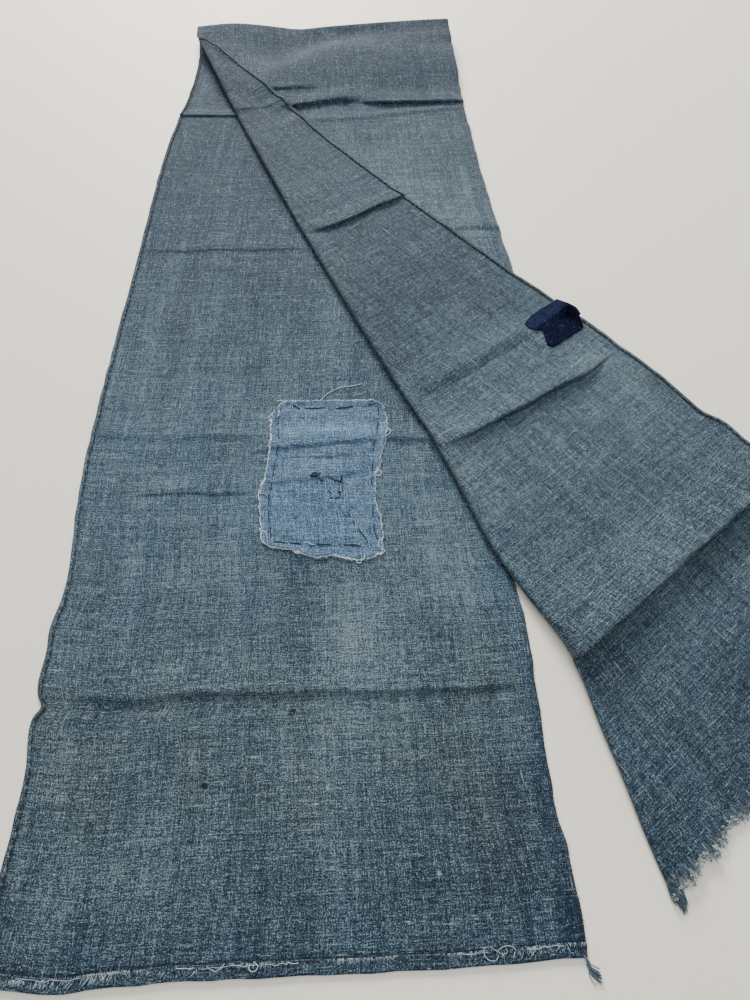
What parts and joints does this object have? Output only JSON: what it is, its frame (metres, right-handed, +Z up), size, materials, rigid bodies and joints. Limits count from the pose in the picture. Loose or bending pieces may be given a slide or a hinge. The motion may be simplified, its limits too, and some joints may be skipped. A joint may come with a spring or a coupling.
{
  "type": "boro cloth",
  "caption": "Long narrow strip of hand-woven indigo cotton with mending patches, lying loosely folded back over itself with one end turned out at a slant.",
  "frame": {"origin": "middle of the lying cloth in plan, on the level of the surface that it rests on", "axes": "+Z up, +Y from the near hem to the far fold, +X to the right, towards the end that is turned out"},
  "size_m": [0.6791, 1.1118, 0.0216],
  "materials": {
    "folded_cloth": "matt hand-spun indigo cotton, faded and streaky",
    "pale_patch": "matt light blue plain-weave cotton",
    "navy_patch": "matt deep navy plain-weave cotton",
    "frayed_end": "loose indigo warp threads"
  },
  "bodies": {
    "root": {"folded_cloth": "folded_cloth", "pale_patch": "pale_patch", "navy_patch": "navy_patch", "frayed_end": "frayed_end"}
  },
  "joints": []
}
